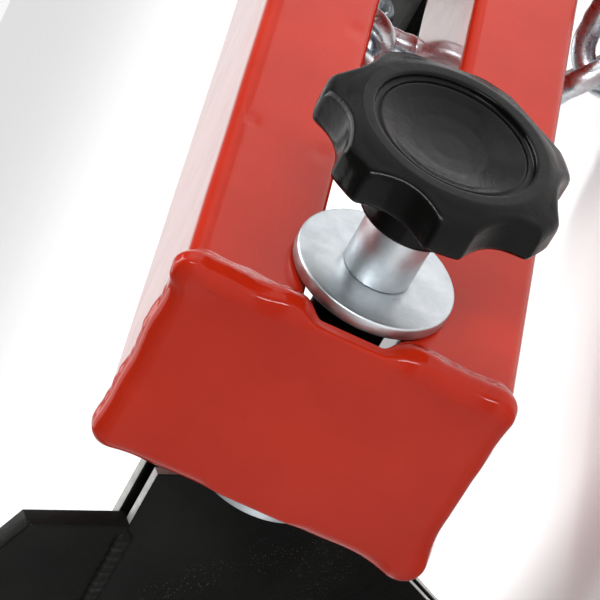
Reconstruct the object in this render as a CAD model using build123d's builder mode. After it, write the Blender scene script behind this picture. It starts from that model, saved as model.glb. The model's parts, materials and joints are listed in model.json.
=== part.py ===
"""Adjustable two-jaw wheel chock.

Two rectangular rails, closed by an end plate at each end, leave a slot between them.
A jaw hangs on a post in the slot near each end. It slides along the slot, swivels on the
post to lie against the tyre, and a star knob clamps it. A retaining chain with a snap hook
hangs from a lug on the back of the spine.

Frame: X along the spine, Y from the knobs towards the jaw tips, Z up, ground at Z = 0.
The jaw at the -X end is called near, and the one at the +X end far.
"""
import os
from math import cos, radians, sin

from build123d import *

# --- Driving dimensions, millimetres and degrees -------------------------------------

# Spine
SPINE_LENGTH = 520.0
RAIL_WIDTH = 25.0
RAIL_DEPTH = 50.0
RAIL_WALL = 2.0
RAIL_CORNER = 2.5
SLOT = 22.0
END_PLATE = 3.0
END_PLATE_CORNER = 4.0
END_PLATE_EDGE = 1.0

# Pivots
PIVOT_INSET = 18.8
POST_DIAMETER = 17.0
POST_SAG = 1.0
POST_RECESS = 1.0
TANG_WIDTH = 17.0
TANG_LENGTH = 28.0
STUD_DIAMETER = 10.0
STUD_DEPTH = 20.0
STUD_TOP = 36.0
STUD_CHAMFER = 1.0
RUNNING_GAP = 0.075

# Washers and collar of the clamp
WASHER_DIAMETER = 34.8
WASHER = 3.2
WASHER_CHAMFER = 0.5
CLAMP_LIFT = 0.6
THRUST_DROP = 2.1
SEAT_GAP = 0.3
COLLAR_DIAMETER = 15.0
COLLAR_LENGTH = 14.7
FACE_GAP = 0.1

# Knob
KNOB_LOBES = 7
KNOB_RADIUS = 27.0
KNOB_SCALLOP_RADIUS = 14.0
KNOB_SCALLOP_DEPTH = 3.5
KNOB_LOBE_ROUND = 4.0
KNOB_PHASE = 10.0
KNOB_HUB_RADIUS = 11.0
KNOB_HUB = 8.0
KNOB_UNDERSIDE = 12.4
KNOB_TOP = 22.7
KNOB_EDGE = 2.5
DISH_RADIUS = 17.4
DISH_LEDGE = 1.4
DISH_INNER_RADIUS = 16.0
DISH_DEPTH = 3.6
INSERT_RADIUS = 7.0
INSERT_LENGTH = 16.0
STUD_HOLE = 19.0

# Jaw, in its own plane: h runs down the jaw, n towards the knob, t out from the tyre
JAW_TILT = 31.0
JAW_REACH = 235.0
NECK_HALF = 26.5
SHOULDER_N = -68.2
SHOULDER_SLOPE = 0.81
SHEET = 2.6
SHEET_GAP = 2.7
JAW_LOW = 74.0
JAW_CORNER = 10.0
WING = 5.0
WING_BACK_T = -0.5
WING_TOP_N = -71.5
WING_LEVEL_H = -50.4
WING_HIGH = -62.0
WING_SLOPE = 2.0
WING_GAP = 0.1
END_BAR = 10.0

# Tyre pad and its bolts
PAD = 9.0
PAD_TOP = -22.0
PAD_LOW = 58.0
PAD_START_N = -112.0
PAD_END_N = -229.0
PAD_GROOVE = 3.0
PAD_GROOVES = 6
PAD_BASE = 5.0
BOLT_DIAMETER = 6.0
BOLT_HEAD_RADIUS = 6.5
BOLT_HEAD = 3.0
BOLT_SPACING_H = 60.0
BOLT_SPACING_N = 90.0
SPACER_RADIUS = 8.0
NUT_ACROSS = 10.0
NUT = 5.0
THREAD_END = 1.0

# Rubber foot along the lower edge of each jaw
FOOT_RADIUS = 6.0
FOOT_GRIP = 11.0
FOOT_START_N = -112.0
FOOT_END_N = -230.0
FOOT_SLOT_GAP = 0.1

# Middle foot of the spine
STAND_WIDTH = 40.0
STAND_DEPTH = 38.0
STAND_PLATE = 4.0
STAND_PAD = 8.0
STAND_PAD_TAPER = 8.0
STAND_PAD_SEAT = 3.0
STAND_PAD_CORNER = 5.0

# Chain, its lugs and the snap hook
LUG_ROD = 8.0
LUG_SPAN = 26.0
LUG_OFFSET_X = 57.0
LUG_BACK = 16.0
LUG_RISE = 16.0
CHAIN_WIRE = 6.5
LINK_PITCH = 24.0
LINK_WIDTH = 24.5
LINK_PLAY = 0.9
HANGING_LINKS = 3
TAIL_LIFT = 0.3
TAIL_DROP = 32.0
TAIL_TURNS = (0, 6, 14, 20, 23, 23, 15, -3, -6, 4, 8, 4)
TAIL_ROLLS = (24, -54, 41, -47, 45, -45, 45, -45, 45, -47, 43, -55)
HOOK_WIRE = 6.0
HOOK_LENGTH = 52.0
HOOK_WIDTH = 24.0
HOOK_MOUTH = 24.0
HOOK_PITCH = 8.2
HOOK_ROLL = 15.0
GATE_SLOT = 3.2
GATE_TONGUE = 2.8
GATE_PIN = 2.4
GATE_PIN_INSET = 3.0
GATE_GAP = 0.4

# --- Derived places --------------------------------------------------------------------

TILT = radians(JAW_TILT)
AXIS_Z = JAW_LOW * cos(TILT) + FOOT_RADIUS
RAIL_Z = AXIS_Z + POST_SAG
KNOB_BASE = CLAMP_LIFT + WASHER + COLLAR_LENGTH + FACE_GAP
FRONT_Y = (KNOB_BASE + KNOB_TOP - JAW_REACH) / 2
PIVOT_X = SPINE_LENGTH / 2 - PIVOT_INSET
RAIL_OFFSET = (SLOT + RAIL_WIDTH) / 2
SPINE_HALF = SLOT / 2 + RAIL_WIDTH
BACK_Y = FRONT_Y + RAIL_DEPTH
NECK_N = -(RAIL_DEPTH + THRUST_DROP + WASHER + SEAT_GAP)
OUTER_T = SHEET_GAP / 2 + SHEET
BOLT_H = (PAD_TOP + PAD_LOW) / 2
BOLT_N = (PAD_START_N + PAD_END_N) / 2

# Local z of this plane points out of the knob, and its origin is on the rails' front faces.
AXIS = Plane(origin=(-PIVOT_X, FRONT_Y, AXIS_Z), x_dir=(1, 0, 0), z_dir=(0, -1, 0))

# Local x, y and z of this plane are the jaw's h, n and t.
JAW = Plane(
    origin=(-PIVOT_X, FRONT_Y, AXIS_Z),
    x_dir=(sin(TILT), 0, -cos(TILT)),
    z_dir=(-cos(TILT), 0, -sin(TILT)),
)

os.makedirs("parts", exist_ok=True)


def hand_in(piece, name):
    """Label one sub-part and write it as its own STEP file."""
    piece.part.label = name
    export_step(piece.part, f"parts/{name}.step")


def hand_in_pair(piece, name):
    """Write a sub-part of the near jaw, and its mirror image for the far jaw."""
    with BuildPart() as twin:
        mirror(piece.part, about=Plane.YZ)
    hand_in(piece, f"near_{name}")
    hand_in(twin, f"far_{name}")


def ring(plane, outer, inner, length):
    """Add a plain ring standing on a plane."""
    with BuildSketch(plane) as face:
        Circle(outer)
        Circle(inner, mode=Mode.SUBTRACT)
    extrude(face.sketch, amount=length)


# --- Spine -----------------------------------------------------------------------------

for rail_name, side in (("upper_rail", 1), ("lower_rail", -1)):
    with BuildPart() as rail:
        with BuildSketch(Plane.YZ.offset(-SPINE_LENGTH / 2)):
            with Locations((FRONT_Y + RAIL_DEPTH / 2, RAIL_Z + side * RAIL_OFFSET)):
                RectangleRounded(RAIL_DEPTH, RAIL_WIDTH, RAIL_CORNER)
                RectangleRounded(
                    RAIL_DEPTH - 2 * RAIL_WALL,
                    RAIL_WIDTH - 2 * RAIL_WALL,
                    RAIL_CORNER / 2,
                    mode=Mode.SUBTRACT,
                )
        extrude(amount=SPINE_LENGTH)
    hand_in(rail, rail_name)

with BuildPart() as end_plate:
    with BuildSketch(Plane.YZ.offset(-SPINE_LENGTH / 2 - END_PLATE)):
        with Locations((FRONT_Y + RAIL_DEPTH / 2, RAIL_Z)):
            RectangleRounded(RAIL_DEPTH, 2 * SPINE_HALF, END_PLATE_CORNER)
    extrude(amount=END_PLATE)
    fillet(end_plate.faces().sort_by(Axis.X)[0].edges(), END_PLATE_EDGE)
hand_in_pair(end_plate, "end_plate")

# --- Middle foot -----------------------------------------------------------------------

STAND_Y = FRONT_Y + RAIL_DEPTH / 2
STAND_TOP = RAIL_Z - SPINE_HALF
with BuildPart() as stand_bracket:
    with BuildSketch(Plane.XZ.offset(-STAND_Y - STAND_DEPTH / 2)):
        with Locations((0, (STAND_PAD + STAND_TOP) / 2)):
            Rectangle(STAND_WIDTH, STAND_TOP - STAND_PAD)
        with Locations((0, STAND_TOP)):
            Rectangle(
                STAND_WIDTH - 2 * STAND_PLATE,
                2 * (STAND_TOP - STAND_PAD - STAND_PLATE),
                mode=Mode.SUBTRACT,
            )
    extrude(amount=STAND_DEPTH)
    fillet(stand_bracket.edges().filter_by(Axis.Y).group_by(Axis.Z)[0], STAND_PLATE)
    with BuildSketch(Plane.XY.offset(STAND_PAD)):
        with Locations((0, STAND_Y)):
            Circle(BOLT_DIAMETER / 2 + RUNNING_GAP)
    extrude(amount=STAND_PLATE, mode=Mode.SUBTRACT)
hand_in(stand_bracket, "middle_foot_bracket")

with BuildPart() as stand_pad:
    with BuildSketch(Plane.XY.offset(STAND_PAD)):
        with Locations((0, STAND_Y)):
            RectangleRounded(STAND_WIDTH, STAND_DEPTH, STAND_PAD_CORNER)
    extrude(amount=-STAND_PAD, taper=STAND_PAD_TAPER)
    with BuildSketch(Plane.XY):
        with Locations((0, STAND_Y)):
            Circle(BOLT_HEAD_RADIUS + RUNNING_GAP)
    extrude(amount=STAND_PAD - STAND_PAD_SEAT, mode=Mode.SUBTRACT)
    with BuildSketch(Plane.XY):
        with Locations((0, STAND_Y)):
            Circle(BOLT_DIAMETER / 2 + RUNNING_GAP)
    extrude(amount=STAND_PAD, mode=Mode.SUBTRACT)
hand_in(stand_pad, "middle_foot_pad")

with BuildPart() as stand_bolt:
    head_z = STAND_PAD - STAND_PAD_SEAT - BOLT_HEAD
    with BuildSketch(Plane.XY.offset(head_z)):
        with Locations((0, STAND_Y)):
            Circle(BOLT_HEAD_RADIUS)
    extrude(amount=BOLT_HEAD)
    with BuildSketch(Plane.XY.offset(head_z + BOLT_HEAD)):
        with Locations((0, STAND_Y)):
            Circle(BOLT_DIAMETER / 2)
    extrude(amount=STAND_PAD_SEAT + STAND_PLATE + NUT + THREAD_END)
hand_in(stand_bolt, "middle_foot_bolt")

with BuildPart() as stand_nut:
    with BuildSketch(Plane.XY.offset(STAND_PAD + STAND_PLATE)):
        with Locations((0, STAND_Y)):
            RegularPolygon(NUT_ACROSS / 2, 6, major_radius=False)
            Circle(BOLT_DIAMETER / 2 + RUNNING_GAP, mode=Mode.SUBTRACT)
    extrude(amount=NUT)
hand_in(stand_nut, "middle_foot_nut")

# --- Posts, studs, washers and collars ---------------------------------------------------

with BuildPart() as post:
    with BuildSketch(AXIS.offset(NECK_N)):
        Circle(POST_DIAMETER / 2)
    extrude(amount=-NECK_N - POST_RECESS)
    with BuildSketch(AXIS.offset(-POST_RECESS)):
        Circle(STUD_DIAMETER / 2 + RUNNING_GAP)
    extrude(amount=-STUD_DEPTH, mode=Mode.SUBTRACT)
    with BuildSketch(JAW.offset(-SHEET_GAP / 2 + RUNNING_GAP)):
        with Locations((0, NECK_N - TANG_LENGTH / 2)):
            Rectangle(TANG_WIDTH, TANG_LENGTH)
    extrude(amount=SHEET_GAP - 2 * RUNNING_GAP)
hand_in_pair(post, "pivot_post")

with BuildPart() as stud:
    with BuildSketch(AXIS.offset(-POST_RECESS - STUD_DEPTH)):
        Circle(STUD_DIAMETER / 2)
    extrude(amount=STUD_TOP + POST_RECESS + STUD_DEPTH)
    chamfer(stud.edges().filter_by(GeomType.CIRCLE), STUD_CHAMFER)
hand_in_pair(stud, "clamp_stud")

with BuildPart() as thrust_washer:
    ring(
        AXIS.offset(-RAIL_DEPTH - THRUST_DROP - WASHER),
        WASHER_DIAMETER / 2,
        POST_DIAMETER / 2 + RUNNING_GAP,
        WASHER,
    )
    chamfer(
        thrust_washer.edges().filter_by(GeomType.CIRCLE).group_by(SortBy.RADIUS)[-1],
        WASHER_CHAMFER,
    )
hand_in_pair(thrust_washer, "thrust_washer")

with BuildPart() as clamp_washer:
    ring(
        AXIS.offset(CLAMP_LIFT),
        WASHER_DIAMETER / 2,
        STUD_DIAMETER / 2 + RUNNING_GAP,
        WASHER,
    )
    chamfer(
        clamp_washer.edges().filter_by(GeomType.CIRCLE).group_by(SortBy.RADIUS)[-1],
        WASHER_CHAMFER,
    )
hand_in_pair(clamp_washer, "clamp_washer")

with BuildPart() as collar:
    ring(
        AXIS.offset(CLAMP_LIFT + WASHER),
        COLLAR_DIAMETER / 2,
        STUD_DIAMETER / 2 + RUNNING_GAP,
        COLLAR_LENGTH,
    )
hand_in_pair(collar, "clamp_collar")

# --- Knobs -----------------------------------------------------------------------------

KNOB = AXIS.offset(KNOB_BASE)
scallop_centre = KNOB_RADIUS - KNOB_SCALLOP_DEPTH + KNOB_SCALLOP_RADIUS
with BuildPart() as knob:
    with BuildSketch(KNOB.offset(KNOB_UNDERSIDE)) as lobes:
        Circle(KNOB_RADIUS)
        with PolarLocations(scallop_centre, KNOB_LOBES, start_angle=KNOB_PHASE):
            Circle(KNOB_SCALLOP_RADIUS, mode=Mode.SUBTRACT)
        fillet(lobes.vertices(), KNOB_LOBE_ROUND)
    extrude(amount=KNOB_TOP - KNOB_UNDERSIDE)
    rim_planes = knob.faces().filter_by(Axis.Y)
    fillet(rim_planes.edges(), KNOB_EDGE)
    with BuildSketch(Plane(KNOB.origin, x_dir=(1, 0, 0), z_dir=(0, 0, 1))):
        with BuildLine():
            Polyline(
                (0, 0),
                (KNOB_HUB_RADIUS, 0),
                (KNOB_HUB_RADIUS, -KNOB_HUB),
                (DISH_RADIUS + 3, -KNOB_UNDERSIDE - 1),
                (0, -KNOB_UNDERSIDE - 1),
                close=True,
            )
        make_face()
    revolve(axis=Axis(KNOB.origin, KNOB.z_dir))
    with BuildSketch(Plane(KNOB.origin, x_dir=(1, 0, 0), z_dir=(0, 0, 1))):
        with BuildLine():
            rim_in = (DISH_RADIUS, -KNOB_TOP + DISH_LEDGE)
            dish_edge = (DISH_INNER_RADIUS, -KNOB_TOP + DISH_LEDGE)
            dish_foot = (0, -KNOB_TOP + DISH_DEPTH)
            Line((0, -KNOB_TOP - 1), (DISH_RADIUS, -KNOB_TOP - 1))
            Line((DISH_RADIUS, -KNOB_TOP - 1), rim_in)
            Line(rim_in, dish_edge)
            TangentArc(dish_foot, dish_edge, tangent=(1, 0))
            Line(dish_foot, (0, -KNOB_TOP - 1))
        make_face()
    revolve(axis=Axis(KNOB.origin, KNOB.z_dir), mode=Mode.SUBTRACT)
    with BuildSketch(KNOB):
        Circle(INSERT_RADIUS + RUNNING_GAP)
    extrude(amount=INSERT_LENGTH, mode=Mode.SUBTRACT)
    with BuildSketch(KNOB):
        Circle(STUD_DIAMETER / 2 + RUNNING_GAP)
    extrude(amount=STUD_HOLE, mode=Mode.SUBTRACT)
hand_in_pair(knob, "knob")

with BuildPart() as insert:
    ring(KNOB, INSERT_RADIUS, STUD_DIAMETER / 2 + RUNNING_GAP, INSERT_LENGTH)
hand_in_pair(insert, "knob_insert")

# --- Jaw sheets --------------------------------------------------------------------------

sheet_outline = [
    (-NECK_HALF, NECK_N),
    (NECK_HALF, NECK_N),
    (NECK_HALF, SHOULDER_N),
    (JAW_LOW, SHOULDER_N - SHOULDER_SLOPE * (JAW_LOW - NECK_HALF)),
    (JAW_LOW, -JAW_REACH),
    (-NECK_HALF, -JAW_REACH),
]


def bolt_circles(radius, mode=Mode.ADD):
    """Draw the four bolt circles of the tyre pad on the current jaw sketch."""
    with Locations((BOLT_H, BOLT_N)):
        with GridLocations(BOLT_SPACING_H, BOLT_SPACING_N, 2, 2):
            Circle(radius, mode=mode)


for sheet_name, start_t in (("outer_jaw_plate", SHEET_GAP / 2), ("inner_jaw_plate", -OUTER_T)):
    with BuildPart() as sheet:
        with BuildSketch(JAW.offset(start_t)) as outline:
            with BuildLine():
                Polyline(*sheet_outline, close=True)
            make_face()
            low_corner = outline.vertices().sort_by(Axis.Y)[0:2].sort_by(Axis.X)[-1]
            fillet(low_corner, JAW_CORNER)
            bolt_circles(BOLT_DIAMETER / 2 + RUNNING_GAP, mode=Mode.SUBTRACT)
        extrude(amount=SHEET)
    hand_in_pair(sheet, sheet_name)

wing_outline = [
    (-NECK_HALF - WING_GAP, WING_TOP_N),
    (WING_LEVEL_H, WING_TOP_N),
    (WING_HIGH, WING_TOP_N - WING_SLOPE * (WING_LEVEL_H - WING_HIGH)),
    (WING_HIGH, -JAW_REACH),
    (-NECK_HALF - WING_GAP, -JAW_REACH),
]
with BuildPart() as wing:
    with BuildSketch(JAW.offset(WING_BACK_T)) as outline:
        with BuildLine():
            Polyline(*wing_outline, close=True)
        make_face()
        tip_corner = outline.vertices().sort_by(Axis.Y)[0:2].sort_by(Axis.X)[0]
        fillet(tip_corner, JAW_CORNER)
    extrude(amount=WING)
hand_in_pair(wing, "jaw_wing")

with BuildPart() as end_bar:
    with BuildSketch(JAW.offset(-SHEET_GAP / 2 + RUNNING_GAP)):
        with Locations(((JAW_LOW - JAW_CORNER - NECK_HALF) / 2, -JAW_REACH + END_BAR / 2)):
            Rectangle(JAW_LOW - JAW_CORNER + NECK_HALF, END_BAR)
    extrude(amount=SHEET_GAP - 2 * RUNNING_GAP)
hand_in_pair(end_bar, "jaw_end_bar")

with BuildPart() as spacers:
    with BuildSketch(JAW.offset(-SHEET_GAP / 2 + RUNNING_GAP)):
        bolt_circles(SPACER_RADIUS)
        bolt_circles(BOLT_DIAMETER / 2 + RUNNING_GAP, mode=Mode.SUBTRACT)
    extrude(amount=SHEET_GAP - 2 * RUNNING_GAP)
hand_in_pair(spacers, "jaw_spacers")

# --- Tyre pad ------------------------------------------------------------------------------

with BuildPart() as pad:
    with BuildSketch(JAW.offset(-OUTER_T)):
        with Locations((BOLT_H, BOLT_N)):
            RectangleRounded(PAD_LOW - PAD_TOP, PAD_START_N - PAD_END_N, JAW_CORNER / 2)
    extrude(amount=-PAD)
    with BuildSketch(JAW.offset(-OUTER_T - PAD)):
        with Locations((BOLT_H, BOLT_N)):
            with GridLocations((PAD_LOW - PAD_TOP) / (PAD_GROOVES + 1), 1, PAD_GROOVES, 1):
                Rectangle(PAD_GROOVE, PAD_START_N - PAD_END_N)
    extrude(amount=PAD - PAD_BASE, mode=Mode.SUBTRACT)
    with BuildSketch(JAW.offset(-OUTER_T - PAD)):
        bolt_circles(BOLT_HEAD_RADIUS + 1)
    extrude(amount=PAD - PAD_BASE + BOLT_HEAD, mode=Mode.SUBTRACT)
    with BuildSketch(JAW.offset(-OUTER_T - PAD)):
        bolt_circles(BOLT_DIAMETER / 2 + RUNNING_GAP)
    extrude(amount=PAD, mode=Mode.SUBTRACT)
hand_in_pair(pad, "tyre_pad")

bolt_seat = -OUTER_T - PAD_BASE + BOLT_HEAD
with BuildPart() as bolts:
    with BuildSketch(JAW.offset(bolt_seat - BOLT_HEAD)):
        bolt_circles(BOLT_HEAD_RADIUS)
    extrude(amount=BOLT_HEAD)
    with BuildSketch(JAW.offset(bolt_seat)):
        bolt_circles(BOLT_DIAMETER / 2)
    extrude(amount=OUTER_T + NUT + THREAD_END - bolt_seat)
hand_in_pair(bolts, "pad_bolts")

with BuildPart() as nuts:
    with BuildSketch(JAW.offset(OUTER_T)):
        with Locations((BOLT_H, BOLT_N)):
            with GridLocations(BOLT_SPACING_H, BOLT_SPACING_N, 2, 2):
                RegularPolygon(NUT_ACROSS / 2, 6, major_radius=False)
                Circle(BOLT_DIAMETER / 2 + RUNNING_GAP, mode=Mode.SUBTRACT)
    extrude(amount=NUT)
hand_in_pair(nuts, "pad_nuts")

# --- Rubber foot along the lower edge of the jaw -----------------------------------------------

FOOT_PLANE = Plane(
    origin=JAW.from_local_coords((JAW_LOW, FOOT_START_N, 0)),
    x_dir=JAW.x_dir,
    z_dir=-JAW.y_dir,
)
with BuildPart() as foot:
    with BuildSketch(FOOT_PLANE):
        Circle(FOOT_RADIUS)
        with Locations((-FOOT_GRIP / 2, 0)):
            Rectangle(FOOT_GRIP, 2 * FOOT_RADIUS)
            Rectangle(FOOT_GRIP, 2 * (OUTER_T + FOOT_SLOT_GAP), mode=Mode.SUBTRACT)
    extrude(amount=FOOT_START_N - FOOT_END_N)
hand_in_pair(foot, "jaw_foot")

# --- Lugs and chain -----------------------------------------------------------------------------

LUG_Z = RAIL_Z + LUG_RISE
CHAIN_Y = BACK_Y + LUG_BACK

# Each lug is a staple of round bar, with its legs welded to the back of the upper rail.
lug_half = (LUG_SPAN - LUG_ROD) / 2
for lug_name, lug_x in (("chain_lug", -LUG_OFFSET_X), ("hook_lug", LUG_OFFSET_X)):
    with BuildPart() as staple:
        with BuildLine():
            FilletPolyline(
                (lug_x - lug_half, BACK_Y, LUG_Z),
                (lug_x - lug_half, CHAIN_Y, LUG_Z),
                (lug_x + lug_half, CHAIN_Y, LUG_Z),
                (lug_x + lug_half, BACK_Y, LUG_Z),
                radius=LUG_ROD * 0.75,
            )
        with BuildSketch(Plane((lug_x - lug_half, BACK_Y, LUG_Z), z_dir=(0, 1, 0))):
            Circle(LUG_ROD / 2)
        sweep()
    hand_in(staple, lug_name)

LINK_BEND = (LINK_WIDTH - CHAIN_WIRE) / 2
LINK_STRAIGHT = LINK_PITCH + CHAIN_WIRE - 2 * LINK_BEND
with BuildPart() as link:
    with BuildLine():
        Line((-LINK_STRAIGHT / 2, -LINK_BEND), (LINK_STRAIGHT / 2, -LINK_BEND))
        JernArc((LINK_STRAIGHT / 2, -LINK_BEND), (1, 0), LINK_BEND, 180)
        Line((LINK_STRAIGHT / 2, LINK_BEND), (-LINK_STRAIGHT / 2, LINK_BEND))
        JernArc((-LINK_STRAIGHT / 2, LINK_BEND), (-1, 0), LINK_BEND, 180)
    with BuildSketch(Plane((0, -LINK_BEND, 0), z_dir=(1, 0, 0))):
        Circle(CHAIN_WIRE / 2)
    sweep()

# Each place is a plane at a link's centre: local x along the link, local z across its face.
link_tip = LINK_PITCH / 2 + CHAIN_WIRE / 2
link_step = LINK_PITCH - LINK_PLAY
hang_top = LUG_Z + LUG_ROD / 2 + LINK_PLAY / 2
hanging_places = []
for index in range(HANGING_LINKS):
    centre = (-LUG_OFFSET_X, CHAIN_Y, hang_top - LINK_PITCH / 2 - index * link_step)
    across = (1, 0, 0) if index % 2 == 0 else (0, 1, 0)
    hanging_places.append(Plane(centre, x_dir=(0, 0, -1), z_dir=across))
with BuildPart() as hanging_links:
    with Locations(hanging_places):
        add(link.part)
hand_in(hanging_links, "hanging_chain_links")


def tail_places():
    """Lay the rest of the chain on the ground, link by link, from the last hanging link."""
    heading = -90.0
    before = Vector(0, -cos(radians(TAIL_DROP)), -sin(radians(TAIL_DROP)))
    last_hanging = hanging_places[-1].from_local_coords((link_tip - LINK_BEND, 0, 0))
    start = last_hanging + before * (LINK_BEND - CHAIN_WIRE - LINK_PLAY)
    side = Vector(1, 0, 0)
    roll = radians(TAIL_ROLLS[0])
    face = before.cross(side) * cos(roll) + side * sin(roll)
    places = [Plane(start + before * link_tip, x_dir=before, z_dir=face)]
    tip = start + before * (2 * link_tip)
    for turn, roll in zip(TAIL_TURNS[1:], TAIL_ROLLS[1:]):
        heading += turn
        along = Vector(cos(radians(heading)), sin(radians(heading)), 0)
        start = tip - (before + along).normalized() * (CHAIN_WIRE + LINK_PLAY)
        rest = CHAIN_WIRE / 2 + LINK_BEND * abs(sin(radians(roll))) + TAIL_LIFT
        centre = start + along * link_tip
        side = Vector(0, 0, 1).cross(along)
        face = Vector(0, 0, cos(radians(roll))) + side * sin(radians(roll))
        places.append(Plane((centre.X, centre.Y, rest), x_dir=along, z_dir=face))
        tip = Vector(start.X, start.Y, rest) + along * (2 * link_tip)
        before = along
    return places, tip, heading


tail, tail_tip, tail_heading = tail_places()
with BuildPart() as tail_links:
    with Locations(tail):
        add(link.part)
hand_in(tail_links, "lying_chain_links")

# --- Snap hook --------------------------------------------------------------------------------

# Local x of this plane runs along the hook, away from the chain, and the mouth is at local +y.
hook_bend = (HOOK_WIDTH - HOOK_WIRE) / 2
hook_half = (HOOK_LENGTH - HOOK_WIDTH) / 2
hook_along = Vector(
    cos(radians(tail_heading)) * cos(radians(HOOK_PITCH)),
    sin(radians(tail_heading)) * cos(radians(HOOK_PITCH)),
    -sin(radians(HOOK_PITCH)),
)
hook_side = Vector(0, 0, 1).cross(hook_along).normalized()
hook_back = CHAIN_WIRE / 2 + HOOK_WIRE / 2 + LINK_PLAY
hook_tip = tail_tip - (tail[-1].x_dir + hook_along).normalized() * hook_back
hook_centre = hook_tip + hook_along * ((HOOK_LENGTH - HOOK_WIRE) / 2)
hook_face = hook_along.cross(hook_side) * cos(radians(HOOK_ROLL))
hook_face += hook_side * sin(radians(HOOK_ROLL))
HOOK = Plane(hook_centre, x_dir=hook_along, z_dir=hook_face)
pin_x = -HOOK_MOUTH / 2 + GATE_PIN_INSET

with BuildPart() as hook:
    with BuildLine(HOOK):
        Line((HOOK_MOUTH / 2, hook_bend), (hook_half, hook_bend))
        JernArc((hook_half, hook_bend), (1, 0), hook_bend, -180)
        Line((hook_half, -hook_bend), (-hook_half, -hook_bend))
        JernArc((-hook_half, -hook_bend), (-1, 0), hook_bend, -180)
        Line((-hook_half, hook_bend), (-HOOK_MOUTH / 2 - GATE_GAP, hook_bend))
    mouth_face = Plane(
        HOOK.from_local_coords((HOOK_MOUTH / 2, hook_bend, 0)),
        x_dir=HOOK.z_dir,
        z_dir=HOOK.x_dir,
    )
    with BuildSketch(mouth_face):
        Circle(HOOK_WIRE / 2)
    sweep()
    with BuildSketch(HOOK.offset(-GATE_TONGUE / 2)):
        with Locations((pin_x - HOOK_WIRE / 2, hook_bend)):
            Rectangle(HOOK_WIRE, HOOK_WIRE - GATE_GAP)
        with Locations((pin_x, hook_bend)):
            Circle((HOOK_WIRE - GATE_GAP) / 2)
    extrude(amount=GATE_TONGUE)
    with BuildSketch(HOOK.offset(-HOOK_WIRE / 2)):
        with Locations((pin_x, hook_bend)):
            Circle(GATE_PIN / 2 + RUNNING_GAP / 2)
    extrude(amount=HOOK_WIRE, mode=Mode.SUBTRACT)
hand_in(hook, "snap_hook_body")

with BuildPart() as gate:
    gate_start = Plane(
        HOOK.from_local_coords((pin_x - GATE_PIN_INSET, hook_bend, 0)),
        x_dir=HOOK.z_dir,
        z_dir=HOOK.x_dir,
    )
    with BuildSketch(gate_start):
        Circle(HOOK_WIRE / 2)
    extrude(amount=HOOK_MOUTH - GATE_GAP)
    with BuildSketch(HOOK.offset(-HOOK_WIRE / 2)):
        with Locations((pin_x + (HOOK_MOUTH - GATE_PIN_INSET) / 2, hook_bend)):
            Rectangle(HOOK_MOUTH - GATE_PIN_INSET, HOOK_WIRE)
        with Locations((pin_x, hook_bend)):
            Circle(HOOK_WIRE / 2)
    extrude(amount=HOOK_WIRE, mode=Mode.INTERSECT)
    with BuildSketch(HOOK.offset(-GATE_SLOT / 2)):
        with Locations((pin_x, hook_bend)):
            Rectangle(2 * HOOK_WIRE + GATE_GAP, HOOK_WIRE)
    extrude(amount=GATE_SLOT, mode=Mode.SUBTRACT)
    with BuildSketch(HOOK.offset(-HOOK_WIRE / 2)):
        with Locations((pin_x, hook_bend)):
            Circle(GATE_PIN / 2 + RUNNING_GAP)
    extrude(amount=HOOK_WIRE, mode=Mode.SUBTRACT)
hand_in(gate, "snap_hook_gate")

with BuildPart() as gate_pin:
    with BuildSketch(HOOK.offset(-HOOK_WIRE / 2)):
        with Locations((pin_x, hook_bend)):
            Circle(GATE_PIN / 2)
    extrude(amount=HOOK_WIRE)
hand_in(gate_pin, "snap_hook_pin")
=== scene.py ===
import json
from math import cos, exp, pi, radians, sin, sqrt

import bmesh
import bpy
import numpy as np
from mathutils import Euler, Matrix, Vector, noise


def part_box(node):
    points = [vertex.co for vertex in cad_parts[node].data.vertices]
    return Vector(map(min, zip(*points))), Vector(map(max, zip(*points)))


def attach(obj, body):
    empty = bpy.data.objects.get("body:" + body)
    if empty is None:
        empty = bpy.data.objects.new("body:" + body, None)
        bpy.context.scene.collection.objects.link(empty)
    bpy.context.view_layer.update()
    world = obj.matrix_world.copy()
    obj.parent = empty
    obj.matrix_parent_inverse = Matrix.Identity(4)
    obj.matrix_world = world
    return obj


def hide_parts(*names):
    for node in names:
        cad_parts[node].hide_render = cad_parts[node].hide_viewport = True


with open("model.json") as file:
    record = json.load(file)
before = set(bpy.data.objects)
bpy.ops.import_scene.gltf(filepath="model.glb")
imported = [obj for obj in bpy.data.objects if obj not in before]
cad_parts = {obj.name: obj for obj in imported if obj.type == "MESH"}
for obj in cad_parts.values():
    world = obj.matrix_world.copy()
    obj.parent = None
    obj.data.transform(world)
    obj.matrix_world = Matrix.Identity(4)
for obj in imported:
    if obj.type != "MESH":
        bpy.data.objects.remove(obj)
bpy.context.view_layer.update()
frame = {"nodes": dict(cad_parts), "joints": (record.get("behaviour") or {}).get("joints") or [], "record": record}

MM = 0.001
X_AXIS = Vector((1, 0, 0))
Y_AXIS = Vector((0, 1, 0))
Z_AXIS = Vector((0, 0, 1))

# Places read from the frame
JOINTS = {joint["name"]: joint for joint in frame["joints"]}
PIVOT = Vector(JOINTS["near_jaw_swivel"]["pos_m"])
UPPER_LOW, UPPER_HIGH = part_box("upper_rail")
LOWER_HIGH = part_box("lower_rail")[1]
BACK_Y = UPPER_HIGH.y
JAW_TILT = radians(31)

# Camera at the photograph's angle
CAMERA_PLACE = (-0.75847, -0.47373, 0.16444)
CAMERA_TURN = (72.4055, 64.6006, -69.0739)
CAMERA_LENS = 191.5


# --- Materials ---------------------------------------------------------------------------


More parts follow.
